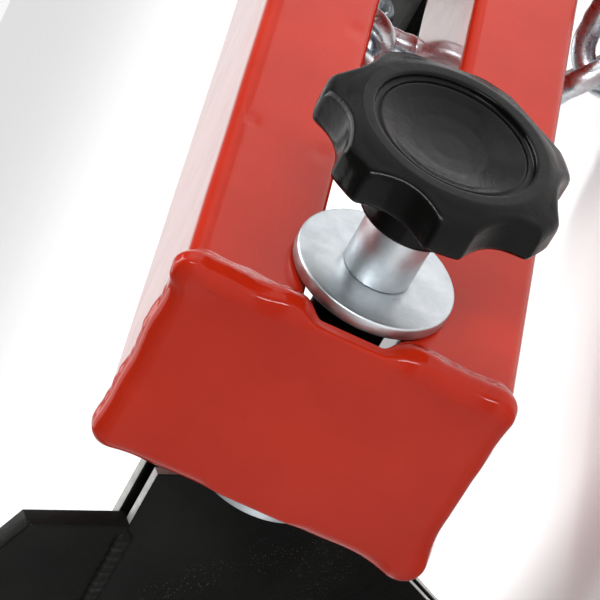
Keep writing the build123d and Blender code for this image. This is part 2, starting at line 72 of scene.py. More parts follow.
class Recipe:
    """A node material being put together round one Principled shader."""

    def __init__(self, name, roughness, metallic=0.0, coat=0.0, coat_roughness=0.05, specular=0.5):
        self.material = bpy.data.materials.new(name)
        self.material.use_nodes = True
        self.nodes = self.material.node_tree.nodes
        self.links = self.material.node_tree.links
        self.shader = self.nodes["Principled BSDF"]
        self.shader.inputs["Roughness"].default_value = roughness
        self.shader.inputs["Metallic"].default_value = metallic
        self.shader.inputs["Coat Weight"].default_value = coat
        self.shader.inputs["Coat Roughness"].default_value = coat_roughness
        self.shader.inputs["Specular IOR Level"].default_value = specular
        self.place = self.nodes.new("ShaderNodeTexCoord").outputs["Object"]
        self.height = None

    def noise(self, scale, detail=3.0, roughness=0.5, distortion=0.0):
        """Fractal noise; scale is in features per metre."""
        node = self.nodes.new("ShaderNodeTexNoise")
        node.inputs["Scale"].default_value = scale
        node.inputs["Detail"].default_value = detail
        node.inputs["Roughness"].default_value = roughness
        node.inputs["Distortion"].default_value = distortion
        self.links.new(self.place, node.inputs["Vector"])
        return node.outputs["Fac"]

    def cells(self, scale):
        """Distance to the nearest scattered point."""
        node = self.nodes.new("ShaderNodeTexVoronoi")
        node.inputs["Scale"].default_value = scale
        self.links.new(self.place, node.inputs["Vector"])
        return node.outputs["Distance"]

    def ramp(self, value, low, high, from_low=0.0, from_high=1.0):
        """Map a value to a range, clamped."""
        node = self.nodes.new("ShaderNodeMapRange")
        node.inputs["From Min"].default_value = from_low
        node.inputs["From Max"].default_value = from_high
        node.inputs["To Min"].default_value = low
        node.inputs["To Max"].default_value = high
        self.links.new(value, node.inputs["Value"])
        return node.outputs["Result"]

    def multiply(self, first, second):
        node = self.nodes.new("ShaderNodeMath")
        node.operation = "MULTIPLY"
        self.links.new(first, node.inputs[0])
        self.links.new(second, node.inputs[1])
        return node.outputs["Value"]

    def mix(self, value, first, second):
        """Mix two colours, or a colour with what is already mixed."""
        node = self.nodes.new("ShaderNodeMix")
        node.data_type = "RGBA"
        self.links.new(value, node.inputs["Factor"])
        for colour, socket in ((first, node.inputs["A"]), (second, node.inputs["B"])):
            if isinstance(colour, tuple):
                socket.default_value = (*colour, 1.0)
            else:
                self.links.new(colour, socket)
        return node.outputs["Result"]

    def colour(self, colour):
        self.links.new(colour, self.shader.inputs["Base Color"])

    def rough(self, value):
        self.links.new(value, self.shader.inputs["Roughness"])

    def bump(self, value, strength, distance):
        """Add a layer of relief on top of the ones before."""
        node = self.nodes.new("ShaderNodeBump")
        node.inputs["Strength"].default_value = strength
        node.inputs["Distance"].default_value = distance
        self.links.new(value, node.inputs["Height"])
        if self.height:
            self.links.new(self.height, node.inputs["Normal"])
        self.height = node.outputs["Normal"]
        self.links.new(self.height, self.shader.inputs["Normal"])


def red_paint():
    """Glossy red enamel with orange peel, dust nibs and slightly thin patches."""
    recipe = Recipe("red_enamel", 0.2, coat=1.0, coat_roughness=0.05, specular=0.06)
    recipe.shader.inputs["Coat IOR"].default_value = 1.17
    broad = recipe.noise(26, 4, 0.55)
    tone = recipe.mix(recipe.ramp(broad, 0, 1, 0.35, 0.65), (0.315, 0.013, 0.0035), (0.375, 0.018, 0.005))
    speck = recipe.ramp(recipe.cells(170), 1, 0, 0.03, 0.10)
    patchy = recipe.ramp(recipe.noise(60, 2), 0, 0.5, 0.5, 0.62)
    tone = recipe.mix(recipe.multiply(speck, patchy), tone, (0.26, 0.010, 0.006))
    recipe.colour(tone)
    recipe.rough(recipe.ramp(recipe.noise(75, 5, 0.6), 0.09, 0.20, 0.3, 0.7))
    recipe.bump(recipe.noise(620, 3, 0.55), 0.30, 0.00014)
    recipe.bump(recipe.noise(90, 2), 0.20, 0.00025)
    return recipe.material


def black_coat():
    """Textured black powder coat."""
    recipe = Recipe("black_powder_coat", 0.42, specular=0.08)
    patch = recipe.noise(38, 4)
    depth = recipe.ramp(patch, 0, 1, 0.35, 0.65)
    tone = recipe.mix(depth, (0.0025, 0.0027, 0.0023), (0.0055, 0.0057, 0.005))
    dust = recipe.ramp(recipe.cells(1300), 1, 0, 0.10, 0.20)
    dusty = recipe.ramp(recipe.noise(45, 3), 0, 0.8, 0.56, 0.64)
    recipe.colour(recipe.mix(recipe.multiply(dust, dusty), tone, (0.12, 0.12, 0.11)))
    recipe.rough(recipe.ramp(recipe.noise(120, 4, 0.6), 0.30, 0.55, 0.3, 0.7))
    recipe.bump(recipe.noise(950, 3, 0.6), 0.42, 0.00022)
    recipe.bump(recipe.noise(240, 2), 0.30, 0.00025)
    return recipe.material


def painted_edge_highlight():
    """Grey painted highlight on the sheet edges: colour that stands in for light reflecting off them, streaked
    with noise.
    """
    recipe = Recipe("edge_painted_highlight", 0.38, specular=0.6)
    # Painted highlight: two greys mixed by streaky noise stand in for light reflecting off the edges.
    streak = recipe.noise(260, 5, 0.7)
    recipe.colour(recipe.mix(recipe.ramp(streak, 0, 1, 0.3, 0.7), (0.14, 0.145, 0.135), (0.36, 0.37, 0.35)))
    recipe.bump(recipe.noise(700, 4), 0.3, 0.00015)
    return recipe.material


def zinc(name, roughness, tint, shade):
    """Bright zinc plating with a faint mottle and fine turning lines."""
    recipe = Recipe(name, roughness, metallic=1.0)
    mottle = recipe.noise(140, 5, 0.65, 0.4)
    recipe.colour(recipe.mix(recipe.ramp(mottle, 0, 1, 0.32, 0.68), shade, tint))
    recipe.rough(recipe.ramp(recipe.noise(420, 5, 0.7), roughness - 0.06, roughness + 0.10, 0.3, 0.7))
    recipe.bump(recipe.noise(1500, 3, 0.65), 0.35, 0.00009)
    recipe.bump(recipe.noise(210, 3), 0.14, 0.00015)
    return recipe.material


def phenolic():
    """Polished black moulding, a little wavy, with swirl marks."""
    recipe = Recipe("black_phenolic", 0.14, coat=0.02, coat_roughness=0.08, specular=0.09)
    tone = recipe.ramp(recipe.noise(60, 4), 0, 1, 0.3, 0.7)
    recipe.colour(recipe.mix(tone, (0.0015, 0.0015, 0.0014), (0.003, 0.003, 0.0028)))
    recipe.rough(recipe.ramp(recipe.noise(200, 6, 0.7, 1.5), 0.13, 0.34, 0.35, 0.75))
    recipe.bump(recipe.noise(85, 3, 0.6, 2.2), 0.35, 0.00040)
    recipe.bump(recipe.noise(700, 2), 0.07, 0.00012)
    return recipe.material


def rubber():
    """Matt moulded rubber with a chalky bloom."""
    recipe = Recipe("black_rubber", 0.72, specular=0.35)
    bloom = recipe.noise(55, 5, 0.6)
    chalk = recipe.ramp(bloom, 0, 1, 0.35, 0.75)
    recipe.colour(recipe.mix(chalk, (0.020, 0.020, 0.020), (0.042, 0.041, 0.039)))
    recipe.rough(recipe.ramp(recipe.noise(150, 4), 0.6, 0.85, 0.3, 0.7))
    recipe.bump(recipe.noise(1200, 3, 0.6), 0.3, 0.00015)
    return recipe.material


def brass():
    """Turned brass."""
    recipe = Recipe("turned_brass", 0.3, metallic=1.0)
    recipe.colour(recipe.mix(recipe.noise(180, 3), (0.55, 0.38, 0.15), (0.70, 0.52, 0.24)))
    recipe.bump(recipe.noise(900, 3), 0.2, 0.0001)
    return recipe.material


RED = red_paint()
BLACK = black_coat()
# Grey painted highlight for the sheet edges, not a colour of the coating.
EDGE_HIGHLIGHT = painted_edge_highlight()
ZINC = zinc("bright_zinc", 0.36, (0.56, 0.59, 0.61), (0.43, 0.465, 0.49))
CHAIN_ZINC = zinc("chain_zinc", 0.27, (0.74, 0.77, 0.80), (0.50, 0.54, 0.58))
PLASTIC = phenolic()
RUBBER = rubber()
BRASS = brass()
SLOT_LOOKS = {
    "red_paint": RED,
    "black_coat": BLACK,
    "zinc_plate": ZINC,
    "zinc_chain": CHAIN_ZINC,
    "knob_plastic": PLASTIC,
    "brass_insert": BRASS,
    "black_rubber": RUBBER,
}
SLOT_OF_NODE = {part["node"]: part["material_slot"] for part in frame["record"]["subparts"]}
BODY_OF_NODE = {
    node: body
    for body, members in frame["record"]["behaviour"]["bodies"].items()
    for node in members
}


# --- Mesh tools --------------------------------------------------------------------------


def shade(mesh, angle=38):
    """Smooth the faces, but keep edges sharper than angle degrees crisp."""
    work = bmesh.new()
    work.from_mesh(mesh)
    bmesh.ops.recalc_face_normals(work, faces=work.faces)
    for face in work.faces:
        face.smooth = True
    for edge in work.edges:
        edge.smooth = len(edge.link_faces) == 2 and edge.calc_face_angle(0) < radians(angle)
    work.to_mesh(mesh)
    work.free()


def show(name, mesh, nodes, looks=None, angle=38):
    """Make a piece of a mesh that stands for one or more CAD nodes of the same body."""
    shade(mesh, angle)
    piece = bpy.data.objects.new(name, mesh)
    bpy.context.scene.collection.objects.link(piece)
    for look in looks or [SLOT_LOOKS[SLOT_OF_NODE[nodes[0]]]]:
        mesh.materials.append(look)
    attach(piece, BODY_OF_NODE[nodes[0]])
    return piece


def stand_for(name, mesh, nodes, looks=None, angle=38):
    """The same, with the CAD nodes hidden behind the new piece."""
    piece = show(name, mesh, nodes, looks, angle)
    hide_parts(*nodes)
    return piece


def mesh_of(name, points, faces):
    mesh = bpy.data.meshes.new(name)
    mesh.from_pydata([tuple(point) for point in points], [], faces)
    return mesh


def joined(name, meshes):
    """One mesh of several."""
    work = bmesh.new()
    for mesh in meshes:
        work.from_mesh(mesh)
        bpy.data.meshes.remove(mesh)
    whole = bpy.data.meshes.new(name)
    work.to_mesh(whole)
    work.free()
    return whole


def ring_faces(rows, columns, first=0, closed=False):
    """Quads between rows of a grid whose columns wrap round."""
    faces = []
    for row in range(rows if closed else rows - 1):
        a = first + row * columns
        b = first + (row + 1) % rows * columns
        for column in range(columns):
            after = (column + 1) % columns
            faces.append((a + column, a + after, b + after, b + column))
    return faces


def soft_line(points, radius, steps=4, closed=True):
    """Round the corners of a 2-D line by quadratic curves that start radius from each corner."""
    count = len(points)
    result = []
    for index, point in enumerate(points):
        if not closed and index in (0, count - 1):
            result.append(point)
            continue
        here = Vector(point)
        before = Vector(points[index - 1]) - here
        after = Vector(points[(index + 1) % count]) - here
        start = here + before.normalized() * min(radius, 0.45 * before.length)
        end = here + after.normalized() * min(radius, 0.45 * after.length)
        for step in range(steps + 1):
            along = step / steps
            curve = start * (1 - along) ** 2 + here * (2 * along * (1 - along)) + end * along ** 2
            result.append((curve.x, curve.y))
    return result


def spin(name, profile, centre, across, along, samples=96, shape=None, closed=False):
    """Turn a line of (radius, height) about an axis.

    An entry may be a function of the angle instead. shape(angle, radius, height) may move points.
    """
    side = along.cross(across)
    points = []
    faces = []
    line = list(profile)
    poles = [] if closed else [line[0], line[-1]]
    if not closed:
        line = line[1:-1]
    for spot in line:
        for sample in range(samples):
            angle = 2 * pi * sample / samples
            r, h = spot(angle) if callable(spot) else spot
            if shape:
                r, h = shape(angle, r, h)
            points.append(centre + (across * cos(angle) + side * sin(angle)) * r + along * h)
    faces = ring_faces(len(line), samples, closed=closed)
    for pole, row in zip(poles, (0, len(line) - 1)):
        tip = len(points)
        points.append(centre + along * pole[1])
        for sample in range(samples):
            after = (sample + 1) % samples
            faces.append((row * samples + sample, row * samples + after, tip))
    return mesh_of(name, points, faces)


def sweep(name, path, radius_at, samples=20, closed=False, normal=None):
    """A round bar along a line of points. radius_at(index, angle) gives its radius."""
    count = len(path)
    points = []
    across = normal
    for index, here in enumerate(path):
        if closed:
            along = path[(index + 1) % count] - path[index - 1]
        else:
            along = path[min(index + 1, count - 1)] - path[max(index - 1, 0)]
        along.normalize()
        across = across or along.orthogonal()
        across = (across - along * across.dot(along)).normalized()
        side = along.cross(across)
        for sample in range(samples):
            angle = 2 * pi * sample / samples
            direction = across * cos(angle) + side * sin(angle)
            points.append(here + direction * radius_at(index, angle))
    faces = ring_faces(count, samples, closed=closed)
    if not closed:
        for row, centre in ((0, path[0]), (count - 1, path[-1])):
            tip = len(points)
            points.append(centre)
            for sample in range(samples):
                after = (sample + 1) % samples
                faces.append((row * samples + sample, row * samples + after, tip))
    return mesh_of(name, points, faces)


def slab(name, outline, low, high, place, bevel, edge_look=0, segments=2):
    """A plate of a 2-D outline between two heights; place(x, y, height) puts it in the frame."""
    work = bmesh.new()
    rows = [[work.verts.new((x, y, height)) for x, y in outline] for height in (low, high)]
    caps = [work.faces.new(rows[0][::-1]), work.faces.new(rows[1])]
    sides = []
    for index in range(len(outline)):
        after = (index + 1) % len(outline)
        sides.append(work.faces.new((rows[0][index], rows[0][after], rows[1][after], rows[1][index])))
    for face in sides:
        face.material_index = edge_look
    rim = [edge for cap in caps for edge in cap.edges]
    on_rim = set(rim)
    corners = [e for e in work.edges if e not in on_rim and e.calc_face_angle(0) > radians(30)]
    bmesh.ops.bevel(
        work,
        geom=rim + corners,
        offset=bevel,
        segments=segments,
        affect="EDGES",
        profile=0.5,
        clamp_overlap=True,
    )
    for vert in work.verts:
        vert.co = place(*vert.co)
    mesh = bpy.data.meshes.new(name)
    work.to_mesh(mesh)
    work.free()
    return mesh


def soften(node, bevel, look=None, angle=28):
    """Stand for a CAD node with a copy of it that has rounded edges."""
    work = bmesh.new()
    work.from_mesh(frame["nodes"][node].data)
    bmesh.ops.remove_doubles(work, verts=work.verts, dist=0.02 * MM)
    bmesh.ops.dissolve_limit(work, angle_limit=radians(1), verts=work.verts, edges=work.edges)
    inner = [edge for edge in work.edges if len(edge.link_faces) == 2]
    sharp = [edge for edge in inner if edge.calc_face_angle(0) > radians(angle)]
    bmesh.ops.bevel(
        work,
        geom=sharp,
        offset=bevel,
        segments=2,
        affect="EDGES",
        profile=0.5,
        clamp_overlap=True,
    )
    mesh = bpy.data.meshes.new(node + "_finished")
    work.to_mesh(mesh)
    work.free()
    return stand_for(node + "_finished", mesh, [node], [look] if look else None)


def smooth_step(value, low, high):
    along = min(max((value - low) / (high - low), 0.0), 1.0)
    return along * along * (3 - 2 * along)


def wobble(point, size, seed=0):
    """Smooth noise from about -1 to 1 with features of the given size."""
    return noise.noise(point / size + Vector((seed * 7.3, seed * 3.1, seed * 5.7)))


# --- Spine -------------------------------------------------------------------------------


def rounded_rectangle(width, height, corner, spacing):
    """Points and outward normals round a rectangle with round corners, centred on 0, 0."""
    found = []
    for turn in range(4):
        half_a, half_b = (width / 2, height / 2) if turn % 2 == 0 else (height / 2, width / 2)
        direction = Matrix.Rotation(turn * pi / 2, 2)
        steps = max(2, round((2 * half_b - 2 * corner) / spacing))
        for step in range(steps):
            along = -(half_b - corner) + (2 * half_b - 2 * corner) * step / steps
            found.append((direction @ Vector((half_a, along)), direction @ Vector((1, 0))))
        arc_steps = max(4, round(corner * pi / 2 / spacing))
        for step in range(arc_steps):
            angle = pi / 2 * step / arc_steps
            normal = Vector((cos(angle), sin(angle)))
            centre = Vector((half_a - corner, half_b - corner))
            found.append((direction @ (centre + normal * corner), direction @ normal))
    return found


RAIL_WALL = 2.0 * MM
RAIL_CORNER = 2.5 * MM
BORE_CORNER = 1.2 * MM

# Small dents in the paint of the upper rail's front face: distance along the rail from its
# near end, distance below its top face, radius and depth, in millimetres.
PAINT_DENTS = ((53.4, 20.7, 1.5, 0.45), (54.1, 3.8, 1.7, 0.4), (103.2, 21.4, 1.6, 0.45))


def rail(node, dents):
    """A rail as drawn box section: round corners, slightly wavy faces, open bore."""
    low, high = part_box(node)
    size = high - low
    middle = (low + high) / 2
    outline = rounded_rectangle(size.y, size.z, RAIL_CORNER, 1.6 * MM)
    bore = rounded_rectangle(size.y - 2 * RAIL_WALL, size.z - 2 * RAIL_WALL, BORE_CORNER, 4 * MM)
    stations = int(size.x / (2 * MM))
    points = []
    for station in range(stations + 1):
        x = low.x + size.x * station / stations
        for spot, normal in outline:
            point = Vector((x, middle.y + spot.x, middle.z + spot.y))
            out = Vector((0, normal.x, normal.y))
            lift = 0.05 * MM * wobble(point, 24 * MM)
            if normal.x < -0.9:
                for along, below, radius, depth in dents:
                    away = Vector((x - low.x - along * MM, high.z - point.z - below * MM)).length
                    lift -= depth * MM * exp(-(away / (radius * MM)) ** 2)
            points.append(point + out * lift)
    faces = ring_faces(stations + 1, len(outline))
    first = len(points)
    for x in (low.x, high.x):
        for spot, _ in bore:
            points.append(Vector((x, middle.y + spot.x, middle.z + spot.y)))
    faces += ring_faces(2, len(bore), first)
    mesh = mesh_of(node + "_painted", points, faces)
    work = bmesh.new()
    work.from_mesh(mesh)
    for x in (low.x, high.x):
        open_edges = [edge for edge in work.edges if edge.is_boundary]
        rims = [edge for edge in open_edges if all(abs(v.co.x - x) < MM for v in edge.verts)]
        bmesh.ops.bridge_loops(work, edges=rims)
    work.to_mesh(mesh)
    work.free()
    stand_for(node + "_painted", mesh, [node])


# How far the washer backs off towards the rails when its knob is loosened, and some air.
WASHER_SLACK = 0.65 * MM


def end_cap(side):
    """An end plate with the weld beads that close its joint with the rails, under thick paint."""
    node = ("near" if side < 0 else "far") + "_end_plate"
    low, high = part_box("near_end_plate")
    middle = (low + high) / 2
    size = high - low
    outline = rounded_rectangle(size.y, size.z, 4 * MM, 0.55 * MM)
    slot_half = (UPPER_LOW.z - LOWER_HIGH.z) / 2
    washer_low, washer_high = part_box("near_clamp_washer")
    washer_reach = (washer_high.x - washer_low.x) / 2 + 1.0 * MM
    washer_limit = washer_high.y + WASHER_SLACK
    seed = 3 if side < 0 else 8
    lumps = (
        (Vector((low.x + 1.5 * MM, low.y, high.z)), 4.4 * MM, 3.0 * MM),
        (Vector((low.x + 2.0 * MM, high.y, low.z)), 6.5 * MM, 2.4 * MM),
        (Vector((low.x + 2.5 * MM, low.y, low.z + 1 * MM)), 5.0 * MM, 1.1 * MM),
        (Vector((low.x + 2.0 * MM, high.y, high.z)), 6.0 * MM, 1.0 * MM),
        (Vector((low.x + 3.5 * MM, low.y, middle.z + slot_half + 3 * MM)), 4.0 * MM, 1.3 * MM),
        (Vector((low.x + 3.5 * MM, low.y, middle.z - slot_half - 4 * MM)), 4.5 * MM, 1.5 * MM),
    )
    rows = []
    for share in (0.12, 0.25, 0.38, 0.5, 0.6, 0.69, 0.77, 0.84, 0.895):
        rows.append(("face", share))
    for step in range(9):
        rows.append(("edge", pi / 2 * step / 8))
    for step in range(1, 17):
        rows.append(("side", step / 16))
    rows.append(("back", 0))
    points = []
    travelled = 0.0
    arc = []
    for index, (spot, _) in enumerate(outline):
        arc.append(travelled)
        travelled += (outline[(index + 1) % len(outline)][0] - spot).length
    for kind, value in rows:
        for (spot, normal), run in zip(outline, arc):
            rim = Vector((0, middle.y + spot.x, middle.z + spot.y))
            out = Vector((0, normal.x, normal.y))
            over_slot = 0.0
            if abs(normal.x) > 0.9:
                over_slot = 1 - smooth_step(abs(spot.y), slot_half - 4.5 * MM, slot_half + 1.5 * MM)
            weld = 1 - over_slot
            edge = (0.9 + 1.9 * weld) * MM
            wave = wobble(rim + X_AXIS * 0.01, 9 * MM, seed)
            height = weld * (1.35 + 0.7 * wave) * MM
            tail = low.x + size.x * over_slot + weld * (9.5 + 1.6 * wobble(rim, 6 * MM, seed + 1)) * MM
            if kind == "face":
                point = Vector((low.x, 0, 0)) + Vector((0, middle.y, middle.z)) * (1 - value) + rim * value
                lift = 0.0
            elif kind == "edge":
                point = Vector((low.x + edge * (1 - cos(value)), 0, 0)) + rim
                point -= out * edge * (1 - sin(value))
                lift = height * sin(value) ** 2 * 0.7
            elif kind == "side":
                x = low.x + edge + (tail - low.x - edge) * value
                crest = (x - low.x - 4.6 * MM) / (3.0 * MM)
                curve = 0.9 * sqrt(max(0.0, 1 - min(abs(crest), 1.0) ** 2))
                lift = height * max(exp(-crest * crest), 0.7 * (1 - value) ** 2)
                scallop = (run / (4.2 * MM) + 0.18 * curve + 0.3 * wobble(rim, 5 * MM, seed + 2)) % 1.0
                lift += weld * 0.03 * MM * sin(2 * pi * scallop) * exp(-crest * crest)
                lift += weld * 0.16 * MM * wobble(rim, 2.4 * MM, seed + 4) * exp(-crest * crest)
                lift -= weld * 0.55 * MM * smooth_step(value, 0.82, 1.0)
                point = Vector((x, 0, 0)) + rim
            else:
                point = Vector((low.x + size.x, 0, 0)) + rim
                lift = -1.0 * MM
            point += out * lift
            for place, radius, rise in lumps:
                if kind == "back" or kind == "side" and value > 0.95:
                    break
                away = (point - place).length / radius
                if away < 2.5:
                    push = (out - X_AXIS * (0.5 if kind != "side" else 0.15)).normalized()
                    point += push * rise * exp(-away * away)
            if kind == "face":
                point.x += 0.05 * MM * wobble(point, 13 * MM, seed)
            if Vector((point.x - PIVOT.x, point.z - PIVOT.z)).length < washer_reach:
                point.y = max(point.y, washer_limit)
            points.append(Vector((-side * point.x, point.y, point.z)))
    faces = ring_faces(len(rows), len(outline))
    for row, x in ((0, low.x), (len(rows) - 1, low.x + size.x)):
        tip = len(points)
        points.append(Vector((-side * x, middle.y, middle.z)))
        for column in range(len(outline)):
            after = (column + 1) % len(outline)
            faces.append((row * len(outline) + column, row * len(outline) + after, tip))
    stand_for(node + "_welded", mesh_of(node, points, faces), [node], angle=60)


def weld_ring(name, node, centre, axis, radius, width, seed):
    """A rippled fillet weld round a bar that stands on a face."""
    across = axis.orthogonal().normalized()
    side = axis.cross(across)
    path = []
    count = 72
    for index in range(count):
        angle = 2 * pi * index / count
        spread = radius * (1 + 0.06 * wobble(Vector((cos(angle), sin(angle), seed)), 0.6))
        path.append(centre + (across * cos(angle) + side * sin(angle)) * spread)

    def size(index, angle):
        ripple = 0.12 * (index * 12 / count % 1.0)
        return width * (0.88 + ripple + 0.1 * wobble(path[index], 4 * MM, seed))

    show(name, sweep(name, path, size, 14, closed=True), [node], angle=70)


def weld_line(name, node, start, end, width, seed, flat=1.0, up=None):
    """A rippled bead along a straight joint, thinner across up when flat is under 1."""
    length = (end - start).length
    count = max(12, round(length / (0.6 * MM)))
    path = [start.lerp(end, index / count) for index in range(count + 1)]
    path = [spot + (up or Z_AXIS) * 0.12 * MM * wobble(spot, 7 * MM, seed) for spot in path]

    def size(index, angle):
        run = length * index / count
        ends = min(1.0, sqrt(max(0.02, min(run, length - run) / (2.2 * MM))))
        ripple = 0.85 + 0.22 * ((run / (2.6 * MM)) % 1.0)
        squeeze = sqrt(cos(angle) ** 2 * flat ** 2 + sin(angle) ** 2)
        return width * ends * squeeze * (ripple + 0.16 * wobble(path[index], 5 * MM, seed))

    look = [BLACK] if SLOT_OF_NODE[node] == "black_coat" else [RED]
    show(name, sweep(name, path, size, 16, normal=up), [node], look, angle=70)


# --- Turned hardware -----------------------------------------------------------------------


def facing(side):
    """Across and along directions of the clamp axis, mirrored for the far end."""
    return Vector((-side, 0, 0)), -Y_AXIS


def clamp_axis(side):
    return Vector((-side * PIVOT.x, 0, PIVOT.z))


def turned_ring(side, node, inner, edge, samples=128):
    """A washer, disc or sleeve with softened edges, from its CAD box."""
    low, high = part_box(node)
    outer = (high.x - low.x) / 2
    top = -low.y
    bottom = -high.y
    corners = [(inner, bottom), (outer, bottom), (outer, top), (inner, top)]
    profile = soft_line(corners, edge, 3)
    across, along = facing(side)
    name = node + "_turned"
    mesh = spin(name, profile, clamp_axis(side), across, along, samples, closed=True)
    stand_for(name, mesh, [node])


STUD_BORE = 5.1 * MM
HUB_HEIGHT = 12.4 * MM
KNOB_LOBES = 7
KNOB_PHASE = radians(10)
KNOB_RADIUS = 27.0 * MM
KNOB_RING = 20.2 * MM
KNOB_WAIST = 23.3 * MM
SCALLOP_RADIUS = 10.5 * MM
SCALLOP_DISTANCE = KNOB_WAIST + SCALLOP_RADIUS


def lobe_radius(angle):
    """Distance from the axis to the knob's lobed outline at an angle."""
    pitch = 2 * pi / KNOB_LOBES
    away = abs((angle - KNOB_PHASE + pitch / 2) % pitch - pitch / 2)
    reach = SCALLOP_DISTANCE * sin(away)
    cut = SCALLOP_DISTANCE * cos(away) - sqrt(max(SCALLOP_RADIUS ** 2 - reach ** 2, 0.0))
    blend = 4.6 * MM
    overlap = max(blend - abs(cut - KNOB_RADIUS), 0.0) / blend
    return min(cut, KNOB_RADIUS) - overlap * overlap * blend / 4


def knob(side):
    """The moulded star knob: hub, flat ring, lobes that fall away from it, ledged dish."""
    node = ("near" if side < 0 else "far") + "_knob"
    low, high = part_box(node)
    base = -high.y
    top = -low.y
    under = base + HUB_HEIGHT
    across, along = facing(side)

    def crown(radius):
        past = max(radius - KNOB_RING, 0.0) / MM
        return top - (0.22 * past + 0.05 * past * past) * MM

    def outline_at(angle):
        """Outer radius, how much of a lobe it is (0 to 1) and how round its edge is."""
        outer = lobe_radius(angle)
        lobe = (outer - KNOB_WAIST) / (KNOB_RADIUS - KNOB_WAIST)
        return outer, lobe, (1.5 + 1.9 * lobe) * MM

    def lobed(inward, drop):
        """A row that follows the lobed outline, its rounding larger on the lobes."""
        def row(angle):
            outer, _, edge = outline_at(angle)
            return outer - inward * edge, crown(outer - edge) - edge * drop
        return row

    def skirt(inward, rise):
        """A row of the lobes' lower edge, a little higher between the lobes."""
        def row(angle):
            outer, lobe, _ = outline_at(angle)
            return outer - inward * MM, under + (rise + 0.5 * (1 - lobe)) * MM
        return row

    def shoulder(share):
        """A row between the lobes' rounding and the flat ring."""
        def row(angle):
            outer, _, edge = outline_at(angle)
            start = outer - edge
            radius = start + (KNOB_RING - 0.1 * MM - start) * share
            return radius, crown(radius)
        return row

    hub = soft_line(
        [
            (0.0, base + 3 * MM),
            (STUD_BORE, base + 3 * MM),
            (STUD_BORE, base),
            (11.0 * MM, base),
            (10.6 * MM, base + 7.0 * MM),
            (12.4 * MM, under - 1.8 * MM),
            (17.0 * MM, under + 0.3 * MM),
        ],
        1.2 * MM,
        4,
        closed=False,
    )
    rim = [skirt(2.4, 0.0), skirt(1.1, 0.1), skirt(0.35, 0.6), skirt(0.0, 1.5), skirt(0.0, 2.6)]
    rim += [lobed(0.0, 1.0), lobed(0.08, 0.62), lobed(0.29, 0.29), lobed(0.62, 0.08), lobed(1.0, 0.0)]
    rim += [shoulder(share) for share in (0.2, 0.4, 0.6, 0.8, 1.0)]
    dish = soft_line(
        [
            (20.0 * MM, top),
            (17.75 * MM, top),
            (17.35 * MM, top - 0.35 * MM),
            (17.25 * MM, top - 1.35 * MM),
            (16.15 * MM, top - 1.5 * MM),
            (15.6 * MM, top - 1.15 * MM),
            (13.0 * MM, top - 2.1 * MM),
            (8.5 * MM, top - 3.1 * MM),
            (4.0 * MM, top - 3.55 * MM),
            (0.0, top - 3.6 * MM),
        ],
        0.5 * MM,
        3,
        closed=False,
    )
    profile = hub + rim + dish
    mesh = spin(node + "_moulded", profile, clamp_axis(side), across, along, 280)
    stand_for(node + "_moulded", mesh, [node], angle=58)


# --- Jaws ----------------------------------------------------------------------------------


def jaw_frame(side):
    """Place a point of the jaw: h down the jaw, n towards the knob, t out from the tyre."""
    down = Vector((-side * sin(JAW_TILT), 0, -cos(JAW_TILT)))
    out = Vector((side * cos(JAW_TILT), 0, -sin(JAW_TILT)))
    origin = Vector((-side * PIVOT.x, PIVOT.y, PIVOT.z))

    def place(h, n, t):
        return origin + down * h - Y_AXIS * n + out * t

    return place


NECK = 26.5 * MM
NECK_N = -55.6 * MM
SHOULDER_N = -68.2 * MM
JAW_LOW = 74.0 * MM
JAW_REACH = 235.0 * MM
JAW_CORNER = 10.0 * MM
SHEET_INNER = 1.35 * MM
SHEET_OUTER = 3.95 * MM
WING_BACK = -0.5 * MM
WING_FRONT = 4.5 * MM
WING_EDGE = -62.0 * MM
WING_BEND = -50.4 * MM
WING_TOP = -71.5 * MM

# Rubber pad, foot and bolts: h down the jaw, n towards the knob
RUBBER_NEAR = -112 * MM
PAD_FAR = -229 * MM
PAD_TOP = -22.0 * MM
PAD_LOW = 58.0 * MM
PAD_DEPTH = 9.0 * MM
PAD_RIBS = 7
GROOVE = 3.0 * MM
GROOVE_DEPTH = 4.0 * MM
FOOT_FAR = -230 * MM
FOOT_TOP = 63.0 * MM
FOOT_RADIUS = 6.0 * MM
NOSE_RIB = 0.22 * MM
BOLTS_H = 18 * MM
BOLTS_N = -170.5 * MM
BOLTS_APART_H = 30 * MM
BOLTS_APART_N = 45 * MM
BOLT_SEAT = 5.95 * MM
POCKET_RADIUS = 7.5 * MM
SOCKET_WIDTH = 4.0 * MM
NUT_WIDTH = 10 * MM
NUT_HEIGHT = 5 * MM
NUT_BORE = 3.05 * MM


def corner_arc(x, y, radius, start):
    """Quarter circle of points inside a corner, from an angle in degrees."""
    return [
        (x + radius * cos(radians(start + step * 10)), y + radius * sin(radians(start + step * 10)))
        for step in range(10)
    ]


